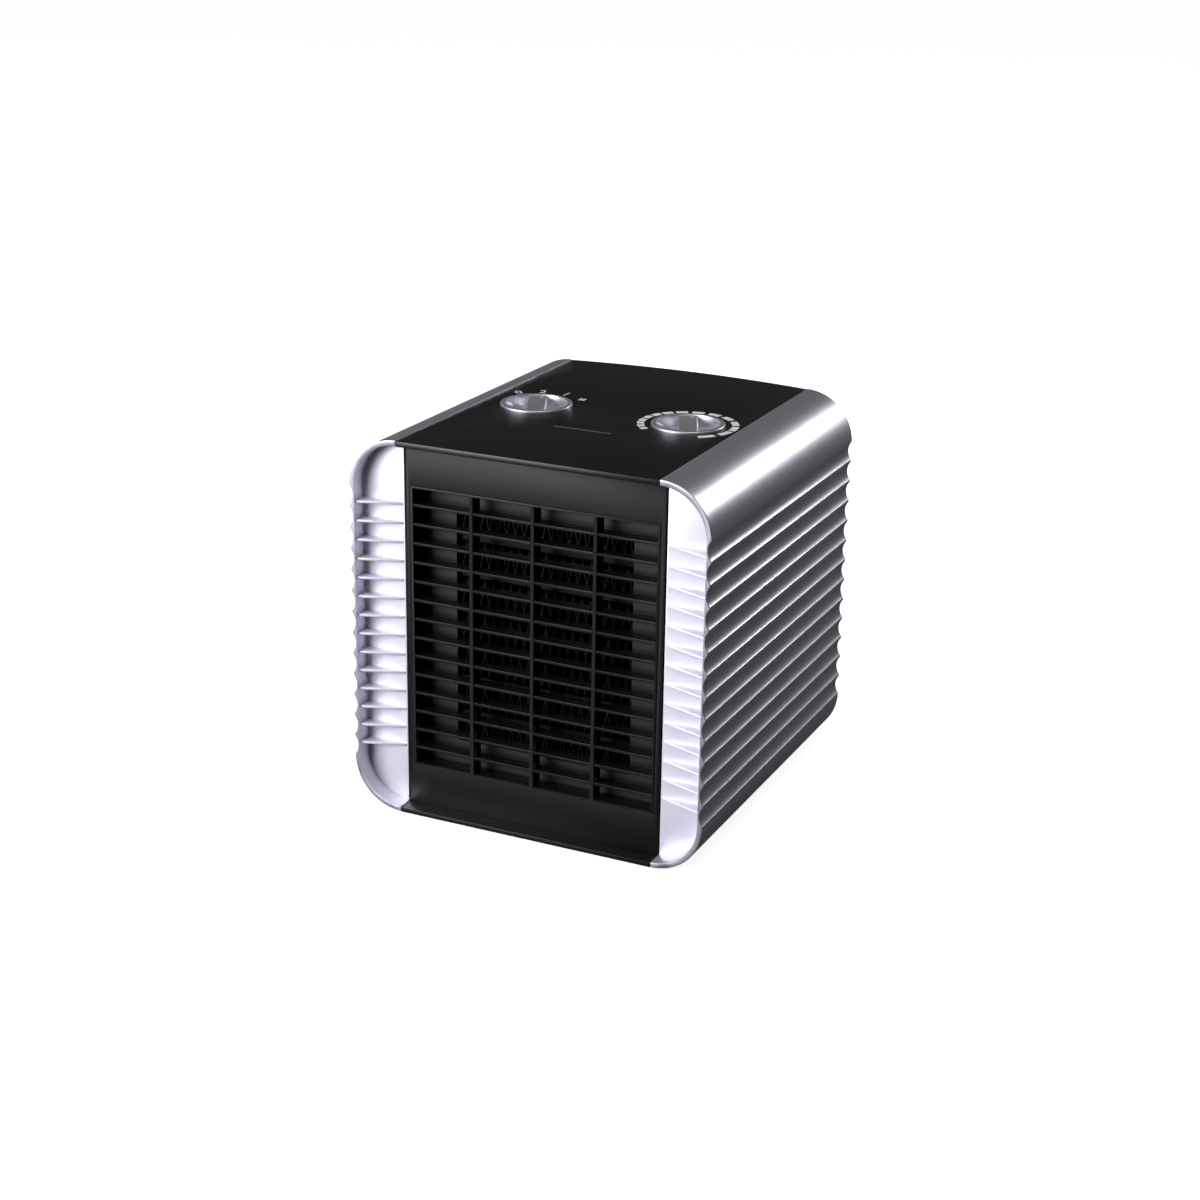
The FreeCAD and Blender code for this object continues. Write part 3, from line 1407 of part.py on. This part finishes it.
block_line = "rear_plane - block_back - block_width / 2"
block_top = "base_top + block_height - overshoot"
first_way = f"{block_left} + block_length / block_ways * 0.5"
second_way = f"{block_left} + block_length / block_ways * 1.5"
tab_bottom = f"{switch_bottom} - terminal_length"
can_top = "duct_top + cutout_height"
leads = [
    lead(
        (first_way, block_line, block_top),
        (first_way, block_line, "base_top + 3 * block_height"),
        ("-support_side / 2", f"{block_line} + wire_slack / 2", "fan_height + wire_slack"),
        (
            "-knob_side + switch_width / 4",
            f"{block_line} - 4 * wire_slack",
            f"{tab_bottom} - 2 * wire_slack",
        ),
        (
            "-knob_side + switch_width / 4",
            "knob_line + switch_width / 4",
            f"{tab_bottom} - 1.5 * wire_slack",
        ),
        ("-knob_side + switch_width / 4", "knob_line + switch_width / 4", tab_bottom),
    ),
    lead(
        ("-knob_side - switch_width / 4", "knob_line - switch_width / 4", tab_bottom),
        ("-knob_side - switch_width / 4", "knob_line - switch_width / 4", f"{tab_bottom} - wire_slack"),
        ("-knob_side - switch_width / 4", "shroud_back + wire_slack", f"{tab_bottom} + wire_slack"),
        ("-knob_side + wire_slack", "shroud_back + wire_slack / 2", "duct_top + wire_slack"),
        ("-cutout_radius / 2", f"{cutout_line} + wire_slack", f"{can_top} + 0.8 * wire_slack"),
        ("-cutout_radius / 2", cutout_line, f"{can_top} + 0.7 * wire_slack"),
        ("-cutout_radius / 2", cutout_line, can_top),
    ),
    lead(
        ("cutout_radius / 2", cutout_line, can_top),
        ("cutout_radius / 2", cutout_line, f"{can_top} + 0.7 * wire_slack"),
        ("cutout_radius / 2 + wire_slack", f"{cutout_line} + wire_slack", f"{can_top} + 0.5 * wire_slack"),
        ("knob_side - wire_slack", "shroud_back + wire_slack / 2", "duct_top + wire_slack"),
        ("knob_side", "knob_line - thermostat_depth / 2 - blade_overhang - 1.5 * wire_slack", blade_level),
        ("knob_side", "knob_line - thermostat_depth / 2 - blade_overhang", blade_level),
    ),
    lead(
        ("window_width / 4", "core_back + coil_build", f"{window_low} - core_leg - coil_build / 2"),
        (
            "window_width / 4",
            "core_back + coil_build + wire_slack",
            f"{window_low} - core_leg - coil_build / 2",
        ),
        ("support_side", f"{block_line} - wire_slack", "base_top + 3 * block_height"),
        (second_way, block_line, "base_top + 2 * block_height"),
        (second_way, block_line, block_top),
    ),
]
wire_runs = document.addObject("Part::Feature", "wire_runs")
wire_runs.Shape = Part.makeCompound(leads)
node(wire_runs, "wiring")

document.recompute()
failed = [item.Name for item in document.Objects if {"Invalid", "Error"} & set(item.State)]
if failed:
    raise RuntimeError(f"these objects failed: {failed}")
os.makedirs("parts", exist_ok=True)
for item in nodes:
    shape = item.Shape
    if shape.isNull() or not shape.isValid() or not shape.Solids:
        raise RuntimeError(f"{item.Label} has no valid solid")
    extent = shape.optimalBoundingBox()
    print(
        f"{item.Label}: {extent.XLength:.1f} x {extent.YLength:.1f} x {extent.ZLength:.1f} mm,"
        f" {len(shape.Solids)} solids, {shape.Volume / 1000:.2f} cm3"
    )
    shape.exportStep(f"parts/{item.Label}.step")
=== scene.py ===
import math

import bmesh
import bpy
from mathutils import Matrix, Vector


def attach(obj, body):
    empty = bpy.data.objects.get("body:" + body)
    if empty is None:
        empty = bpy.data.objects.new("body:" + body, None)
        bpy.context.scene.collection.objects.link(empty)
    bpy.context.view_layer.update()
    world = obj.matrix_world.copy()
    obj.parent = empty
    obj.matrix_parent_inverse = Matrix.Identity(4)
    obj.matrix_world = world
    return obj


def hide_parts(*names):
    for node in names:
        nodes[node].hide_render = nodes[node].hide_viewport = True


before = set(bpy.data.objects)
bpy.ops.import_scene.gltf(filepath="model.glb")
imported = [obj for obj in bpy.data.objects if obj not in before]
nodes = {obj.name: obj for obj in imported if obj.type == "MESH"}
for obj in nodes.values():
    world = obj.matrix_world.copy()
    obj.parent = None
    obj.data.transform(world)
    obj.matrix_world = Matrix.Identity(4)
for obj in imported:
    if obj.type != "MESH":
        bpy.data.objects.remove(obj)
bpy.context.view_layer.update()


# Table and studio.
# A wide pale table top under soft boxes, with the camera a little above the heater and to its right.
# The table isn't part of the object.

CAMERA_TARGET = Vector((-0.0044, -0.0040, 0.0992))
CAMERA_AZIMUTH = 25.03
CAMERA_ELEVATION = 19.6
CAMERA_ROLL = 0.92
CAMERA_DISTANCE = 1.1588
CAMERA_LENS = 65.28
TABLE_WIDTH = 60.0
MID_HEIGHT = 0.1


def direction(azimuth, elevation):
    """A unit vector away from the heater: azimuth 0 is in front of it, and 90 on its right."""
    a = math.radians(azimuth)
    e = math.radians(elevation)
    return Vector((math.sin(a) * math.cos(e), -math.cos(a) * math.cos(e), math.sin(e)))


camera = bpy.data.objects.new("camera", bpy.data.cameras.new("camera"))
bpy.context.scene.collection.objects.link(camera)
camera.data.lens = CAMERA_LENS
camera.data.sensor_width = 36.0
camera.data.clip_start = 0.05
camera.data.clip_end = 200.0
away = direction(CAMERA_AZIMUTH, CAMERA_ELEVATION)
turned = away.to_track_quat("Z", "Y").to_matrix().to_4x4()
rolled = turned @ Matrix.Rotation(math.radians(CAMERA_ROLL), 4, "Z")
camera.matrix_world = Matrix.Translation(CAMERA_TARGET + away * CAMERA_DISTANCE) @ rolled
bpy.context.scene.camera = camera
bpy.context.scene.view_settings.view_transform = "Standard"


def linear(code, alpha=1.0):
    """An sRGB hex colour as the linear RGBA that shaders take."""
    parts = [int(code[i:i + 2], 16) / 255 for i in (0, 2, 4)]
    return [c / 12.92 if c <= 0.04045 else ((c + 0.055) / 1.055) ** 2.4 for c in parts] + [alpha]


def add(tree, kind, inputs=None, **settings):
    """Adds a node with its settings. An input is a number, a colour or the socket that feeds it."""
    made = tree.nodes.new(kind)
    for name, value in settings.items():
        setattr(made, name, value)
    for name, value in (inputs or {}).items():
        if isinstance(value, bpy.types.NodeSocket):
            tree.links.new(value, made.inputs[name])
        else:
            made.inputs[name].default_value = value
    return made


def new_material(name):
    """An empty material with its Principled shader joined to the output, and its object coordinates."""
    made = bpy.data.materials.new(name)
    made.use_nodes = True
    tree = made.node_tree
    tree.nodes.clear()
    shader = add(tree, "ShaderNodeBsdfPrincipled")
    add(tree, "ShaderNodeOutputMaterial", {"Surface": shader.outputs["BSDF"]})
    place = add(tree, "ShaderNodeTexCoord").outputs["Object"]
    return made, tree, shader, place


def per_mm(size):
    """The scale of a pattern whose grains are this many millimetres across, in object metres."""
    return 1000.0 / size


def soft_box(name, azimuth, elevation, distance, width, height, power, colour="FFFFFF"):
    lamp = bpy.data.lights.new(name, "AREA")
    lamp.shape = "RECTANGLE"
    lamp.size = width
    lamp.size_y = height
    lamp.energy = power
    lamp.color = linear(colour)[:3]
    made = bpy.data.objects.new(name, lamp)
    bpy.context.scene.collection.objects.link(made)
    towards = direction(azimuth, elevation)
    made.location = Vector((0, 0, MID_HEIGHT)) + towards * distance
    made.rotation_euler = towards.to_track_quat("Z", "Y").to_euler()
    return made


soft_box("key_box", -34, 14, 1.7, 1.3, 1.1, 40, "FBFAFF")
soft_box("rim_box", 152, 22, 1.9, 0.62, 0.34, 9, "FFFFFF")
soft_box("top_box", 60, 70, 1.9, 1.0, 1.0, 7, "FFFFFF")

sun = bpy.data.lights.new("ceiling", "SUN")
sun.energy = 0.5
sun.angle = math.radians(70)
ceiling = bpy.data.objects.new("ceiling", sun)
ceiling.rotation_euler = direction(-20, 72).to_track_quat("Z", "Y").to_euler()
bpy.context.scene.collection.objects.link(ceiling)

world = bpy.data.worlds.new("studio_room")
bpy.context.scene.world = world
world.use_nodes = True
world.node_tree.nodes["Background"].inputs["Color"].default_value = linear("FFFFFF")
world.node_tree.nodes["Background"].inputs["Strength"].default_value = 0.05

table_mesh = bpy.data.meshes.new("table")
shape = bmesh.new()
bmesh.ops.create_grid(shape, x_segments=1, y_segments=1, size=TABLE_WIDTH / 2)
shape.to_mesh(table_mesh)
shape.free()
table = bpy.data.objects.new("table", table_mesh)
bpy.context.scene.collection.objects.link(table)
table.visible_glossy = False
table.visible_diffuse = False

# Sprayed laminate: flat white, with a faint cloudiness that the eye reads as a real table top.
laminate, tree, shader, place = new_material("white_laminate")
clouds = add(tree, "ShaderNodeTexNoise", {"Vector": place, "Scale": per_mm(400), "Detail": 2.0})
tint = add(tree, "ShaderNodeMix", {"Factor": clouds.outputs["Fac"]}, data_type="RGBA")
tint.inputs["A"].default_value = linear("F6F6F6")
tint.inputs["B"].default_value = linear("FAFAFA")
tree.links.new(tint.outputs["Result"], shader.inputs["Base Color"])
shader.inputs["Roughness"].default_value = 0.9
shader.inputs["Emission Color"].default_value = linear("FFFFFF")
shader.inputs["Emission Strength"].default_value = 0.8
table_mesh.materials.append(laminate)


# Base tray, feet and screws.
# The tray is injection-moulded black ABS and closes the case from below, with a sill under the outlet.
# Four rubber buttons are pressed into its floor, and four screws hold it to the side profiles.

GRAIN_HEIGHT = 0.00005


def finish(name, colour, shade, metal, rough, grain, relief):
    """A surface with grains this many millimetres across, which vary its gloss, height and, slowly, colour."""
    made, tree, shader, place = new_material(name)
    grains = add(tree, "ShaderNodeTexNoise", {"Vector": place, "Scale": per_mm(grain), "Detail": 2.0})
    clouds = add(tree, "ShaderNodeTexNoise", {"Vector": place, "Scale": per_mm(grain * 25), "Detail": 2.0})
    tint = add(tree, "ShaderNodeMix", {"Factor": clouds.outputs["Fac"]}, data_type="RGBA")
    tint.inputs["A"].default_value = linear(colour)
    tint.inputs["B"].default_value = linear(shade)
    gloss = add(tree, "ShaderNodeMapRange",
                {"Value": grains.outputs["Fac"], "To Min": rough[0], "To Max": rough[1]})
    bump = add(tree, "ShaderNodeBump",
               {"Height": grains.outputs["Fac"], "Strength": relief, "Distance": GRAIN_HEIGHT})
    tree.links.new(tint.outputs["Result"], shader.inputs["Base Color"])
    tree.links.new(gloss.outputs["Result"], shader.inputs["Roughness"])
    tree.links.new(bump.outputs["Normal"], shader.inputs["Normal"])
    shader.inputs["Metallic"].default_value = metal
    return made


def dress(material, *names):
    """CAD pieces whose shape is already right take their finish."""
    for name in names:
        nodes[name].data.materials.clear()
        nodes[name].data.materials.append(material)


def softened(name, body, material, edge, sharp=32.0):
    """A CAD piece as one closed mesh, with its corners rounded by edge metres as its mould leaves them."""
    shape = bmesh.new()
    shape.from_mesh(nodes[name].data)
    bmesh.ops.remove_doubles(shape, verts=shape.verts, dist=1e-6)
    bmesh.ops.dissolve_degenerate(shape, edges=shape.edges, dist=1e-6)
    bmesh.ops.dissolve_limit(shape, angle_limit=math.radians(0.3), verts=shape.verts, edges=shape.edges)
    limit = math.radians(sharp)
    corners = [e for e in shape.edges if len(e.link_faces) == 2 and e.calc_face_angle() > limit]
    bmesh.ops.bevel(shape, geom=corners, offset=edge, offset_type="OFFSET", segments=2, profile=0.5,
                    affect="EDGES", clamp_overlap=True, material=-1)
    for face in shape.faces:
        face.smooth = True
    for e in shape.edges:
        e.smooth = len(e.link_faces) != 2 or e.calc_face_angle() <= limit
    bmesh.ops.triangulate(shape, faces=[f for f in shape.faces if len(f.verts) > 4])
    mesh = bpy.data.meshes.new(name + "_shell")
    shape.to_mesh(mesh)
    shape.free()
    mesh.materials.append(material)
    piece = bpy.data.objects.new(name + "_shell", mesh)
    bpy.context.scene.collection.objects.link(piece)
    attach(piece, body)
    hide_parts(name)
    return piece


# Black ABS from a spark-eroded mould: a fine grain that breaks reflections into a soft sheen.
black_abs = finish("black_moulded_abs", "0E0E0D", "121211", 0.0, (0.34, 0.42), 0.5, 0.06)
rubber = finish("moulded_rubber", "191919", "202020", 0.0, (0.75, 0.9), 0.8, 0.2)
# Zinc-plated steel: grey with a faint spangle and a broad highlight.
zinc_steel = finish("zinc_plated_steel", "A6A8AC", "8E9094", 1.0, (0.3, 0.42), 1.2, 0.05)
softened("base_tray", "case", black_abs, 0.0003)
dress(rubber, "rubber_feet")
dress(zinc_steel, "base_screws")


# Side profiles.
# Each is one ABS moulding in a C section that wraps the case from top to bottom, with concave flutes.
# It is sprayed with silver metallic lacquer, and its front edge is a raised rounded rim.

# Metallic lacquer: flakes lying nearly flat in the spray, which give a satin mirror with a fine sparkle.
# The flakes are drawn 0.35 mm across, because real ones of 0.03 mm would not show.
silver_lacquer, tree, shader, place = new_material("silver_lacquered_abs")
flakes = add(tree, "ShaderNodeTexVoronoi", {"Vector": place, "Scale": per_mm(0.35)})
drift = add(tree, "ShaderNodeTexNoise", {"Vector": place, "Scale": per_mm(14), "Detail": 3.0})
tint = add(tree, "ShaderNodeMix", {"Factor": drift.outputs["Fac"]}, data_type="RGBA")
tint.inputs["A"].default_value = linear("CDCCD8")
tint.inputs["B"].default_value = linear("DDDCE6")
gloss = add(tree, "ShaderNodeMapRange", {"Value": flakes.outputs["Distance"], "To Min": 0.27, "To Max": 0.44})
bump = add(tree, "ShaderNodeBump",
           {"Height": flakes.outputs["Distance"], "Strength": 0.14, "Distance": GRAIN_HEIGHT})
tree.links.new(tint.outputs["Result"], shader.inputs["Base Color"])
tree.links.new(gloss.outputs["Result"], shader.inputs["Roughness"])
tree.links.new(bump.outputs["Normal"], shader.inputs["Normal"])
shader.inputs["Metallic"].default_value = 0.85
for side in ("left", "right"):
    softened("side_profile_" + side, "case", silver_lacquer, 0.0006)


# Bezels.
# A recessed strip stands inside each rim, with fins that carry the grille's lines out to the side flutes.
# They are ABS, sprayed with a paler and less metallic silver than the profiles.

# Pale silver paint: mostly diffuse, so that it stays light from every side.
pale_silver = finish("pale_silver_painted_abs", "ECEBF7", "E3E2F0", 0.35, (0.42, 0.52), 0.4, 0.05)
for side in ("left", "right"):
    softened("bezel_" + side, "case", pale_silver, 0.00025)


# Front panel and outlet grille.
# The face round the outlet is one flat moulding set back behind the rims. The grille clips into its window.
# Both are heat-resistant nylon, as the outlet air is hot.

# Glass-filled nylon: deep black, with little gloss.
black_nylon = finish("black_moulded_nylon", "0A0A09", "0D0D0C", 0.0, (0.42, 0.5), 0.4, 0.05)
black_nylon.node_tree.nodes["Principled BSDF"].inputs["Specular IOR Level"].default_value = 0.3
softened("front_panel", "case", black_nylon, 0.0003)
softened("front_grille", "case", black_nylon, 0.0002)


# Heater.
# Flat aluminium tubes hold ceramic heating stones between brass electrodes, with folded fins between tubes.
# Two frames clamp the stack in a square duct, and a snap-disc cut-out and a fuse guard it.

# Aluminium with painted shade: its colour is set nearly black to stand for the shade inside the duct, with
# bright glints on its folds.
shade_dark_aluminium = finish("aluminium_painted_dark_for_shade", "2A2A2C", "1C1C1E", 0.9, (0.28, 0.4), 0.6, 0.1)
heat_plastic = finish("black_heatproof_plastic", "0C0C0C", "101010", 0.0, (0.5, 0.6), 0.5, 0.06)
white_ceramic = finish("fired_ceramic", "DFDCD2", "CFCCC2", 0.0, (0.5, 0.65), 0.7, 0.1)
brass = finish("stamped_brass", "C6A75E", "B4954E", 1.0, (0.26, 0.38), 0.9, 0.05)
# The tubes and fins take the aluminium whose near-black colour is painted shade.
dress(shade_dark_aluminium, "heating_tubes", "radiator_fins")
dress(heat_plastic, "heater_duct", "heater_frame_front", "heater_frame_rear", "element_end_left",
      "element_end_right", "thermal_cutout", "fan_shroud")
dress(white_ceramic, "ceramic_stones", "thermal_fuse")
dress(brass, "electrode_tabs")


# Fan and motor.
# A moulded axial wheel is pressed on the shaft of a shaded-pole motor, screwed to the shroud's struts.
# The core is a stack of steel sheets with an enamelled copper winding.

grey_wheel = finish("grey_moulded_wheel", "24242A", "2A2A30", 0.0, (0.4, 0.5), 0.6, 0.05)
enamelled_copper = finish("enamelled_copper_winding", "94481F", "7C3814", 0.8, (0.3, 0.4), 0.5, 0.3)
dress(grey_wheel, "fan_wheel")
dress(zinc_steel, "motor_shaft", "motor_rotor", "motor_core", "motor_bridge_front", "motor_bridge_rear",
      "motor_screws")
dress(brass, "bush_front", "bush_rear")
dress(enamelled_copper, "motor_coil")


# Controls under the top.
# A rotary switch and a bimetal thermostat hang under the panel, each with a steel spindle for its knob.
# Their contacts and terminals are brass and steel strips.

dress(heat_plastic, "switch_housing", "lamp_holder")
dress(zinc_steel, "switch_shaft", "thermostat_plate", "thermostat_shaft", "thermostat_blades",
      "control_screws")
dress(brass, "switch_terminals", "thermostat_rivet")
dress(white_ceramic, "thermostat_spacers")


# Top panel, pilot light and prints.
# The panel is one black ABS moulding with two wells, a slot for a light pipe and a front lip.
# The figures and marks are pad-printed in white ink round the wells.

softened("top_panel", "case", black_abs, 0.0003)
smoky_clear = finish("smoky_polycarbonate", "6E6C66", "605E58", 0.0, (0.2, 0.28), 0.6, 0.02)
lamp_glass = finish("lamp_glass", "D8C8B8", "CDBDAD", 0.0, (0.08, 0.12), 0.6, 0.01)
dress(smoky_clear, "indicator_lens")
dress(lamp_glass, "indicator_lamp")

# Pad-printing ink: matt white, with a slightly uneven film.
white_ink = finish("white_printed_ink", "F2F2F4", "E4E4E8", 0.0, (0.5, 0.62), 0.5, 0.05)
PRINT_LEVEL = 0.2017
INK_FILM = 0.00004
KNOB_SIDE = 0.0432
KNOB_DEPTH = -0.0035
LEGEND_RADIUS = 0.0262
LEGEND_HEIGHT = 0.0058
FIGURE_SHARE = 0.7
FAN_SIGN_ANGLE = 41
LEAF_RADIUS = 0.001
LEAF_SQUEEZE = 0.75
LEAF_LEAN = 25
LEAF_PLACE = (0.0002, 0.0015, 0)
HUB_DOT = 0.0004


def printed(name, mesh):
    mesh.materials.append(white_ink)
    piece = bpy.data.objects.new(name, mesh)
    bpy.context.scene.collection.objects.link(piece)
    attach(piece, "case")


def around(side, radius, angle):
    """The place at this radius and clockwise angle from a knob's rear, turned to read outwards."""
    turn = Matrix.Rotation(-math.radians(angle), 4, "Z")
    centre = Matrix.Translation((side * KNOB_SIDE, KNOB_DEPTH, PRINT_LEVEL))
    return centre @ turn @ Matrix.Translation((0, radius, 0))


def film(shape, name, place):
    """Raises flat faces by the thickness of the ink and prints them at a place."""
    flat = shape.faces[:]
    raised = bmesh.ops.extrude_face_region(shape, geom=flat, use_keep_orig=True)["geom"]
    upper = [v for v in raised if isinstance(v, bmesh.types.BMVert)]
    bmesh.ops.translate(shape, vec=(0, 0, INK_FILM), verts=upper)
    bmesh.ops.recalc_face_normals(shape, faces=shape.faces)
    mesh = bpy.data.meshes.new(name)
    shape.to_mesh(mesh)
    shape.free()
    mesh.transform(place)
    printed(name, mesh)


for figure, angle in (("0", -48), ("2", -19), ("1", 10.4)):
    text = bpy.data.curves.new("figure_" + figure, "FONT")
    text.body = figure
    text.size = LEGEND_HEIGHT / FIGURE_SHARE
    text.align_x = "CENTER"
    text.align_y = "CENTER"
    text.extrude = INK_FILM / 2
    holder = bpy.data.objects.new("figure_holder", text)
    bpy.context.scene.collection.objects.link(holder)
    bpy.context.view_layer.update()
    mesh = bpy.data.meshes.new_from_object(holder.evaluated_get(bpy.context.evaluated_depsgraph_get()))
    bpy.data.objects.remove(holder)
    mesh.materials.clear()
    shape = bmesh.new()
    shape.from_mesh(mesh)
    bmesh.ops.remove_doubles(shape, verts=shape.verts, dist=1e-6)
    shape.to_mesh(mesh)
    shape.free()
    mesh.transform(Matrix.Translation((0, 0, INK_FILM / 2)))
    mesh.transform(around(-1, LEGEND_RADIUS, angle))
    printed("print_figure_" + figure, mesh)

# Fan symbol: four leaves round a dot.
shape = bmesh.new()
for quarter in range(4):
    leaf = bmesh.ops.create_circle(shape, segments=20, radius=LEAF_RADIUS, cap_ends=True)["verts"]
    lean = Matrix.Rotation(math.radians(LEAF_LEAN), 3, "Z")
    turn = Matrix.Rotation(math.radians(90 * quarter), 3, "Z")
    bmesh.ops.scale(shape, vec=(LEAF_SQUEEZE, 1.0, 1.0), verts=leaf)
    bmesh.ops.rotate(shape, cent=(0, 0, 0), matrix=lean, verts=leaf)
    bmesh.ops.translate(shape, vec=LEAF_PLACE, verts=leaf)
    bmesh.ops.rotate(shape, cent=(0, 0, 0), matrix=turn, verts=leaf)
bmesh.ops.create_circle(shape, segments=16, radius=HUB_DOT, cap_ends=True)
film(shape, "print_fan_sign", around(-1, LEGEND_RADIUS, FAN_SIGN_ANGLE))

# Heat marks: fifteen blocks that widen as the knob is turned up.
MARK_RADII = (0.0224, 0.0261)
MARK_WIDTHS = (8.0, 21.0)
MARK_ANGLES = (-135.5, -123, -110, -96.4, -81, -65, -48.4, -30.3, -10.3, 11.6, 34.5, 59, 83, 107, 134.7)
shape = bmesh.new()
for index, angle in enumerate(MARK_ANGLES):
    narrow, wide = MARK_WIDTHS
    width = narrow + (wide - narrow) * index / (len(MARK_ANGLES) - 1)
    ends = [shape.verts.new((0, radius, 0)) for radius in MARK_RADII]
    edge = shape.edges.new(ends)
    start = Matrix.Rotation(-math.radians(angle - width / 2), 3, "Z")
    bmesh.ops.rotate(shape, cent=(0, 0, 0), matrix=start, verts=ends)
    bmesh.ops.spin(shape, geom=ends + [edge], cent=(0, 0, 0), axis=(0, 0, -1), angle=math.radians(width),
                   steps=6, use_duplicate=False)
film(shape, "print_heat_marks", around(1, 0, 0))


# Knobs.
# Each is a shallow dish with two finger scoops and a grip bar between, pressed on its spindle.
# They are ABS, plated and brushed to a satin silver.

# Satin plate: a soft mirror whose fine grain smears the light, so that the scoops shade smoothly.
satin_plate = finish("satin_plated_abs", "D9D8DF", "CDCCD4", 0.8, (0.32, 0.42), 0.8, 0.05)
softened("mode_knob", "mode_control", satin_plate, 0.0003)
softened("thermostat_knob", "thermostat_control", satin_plate, 0.0003)


# Rear cover, cord gland and screws.
# A black ABS plate closes the back, with a bowed middle cut by rows of intake slots.
# The gland is a rubber sleeve pressed into its boss, and four screws hold the plate.

softened("rear_cover", "case", black_abs, 0.0003)
dress(rubber, "cord_gland")
dress(zinc_steel, "rear_screws")


# Terminal block and wiring.
# The supply ends at a moulded block with a brass screw for each way, and insulated leads run on from it.

block_plastic = finish("off_white_moulding", "D6D2C6", "CAC6BA", 0.0, (0.35, 0.45), 0.6, 0.05)
silicone = finish("silicone_sleeve", "6A2010", "5C1A0C", 0.0, (0.5, 0.6), 0.6, 0.05)
dress(block_plastic, "terminal_block")
dress(brass, "terminal_screws")
dress(silicone, "wiring")
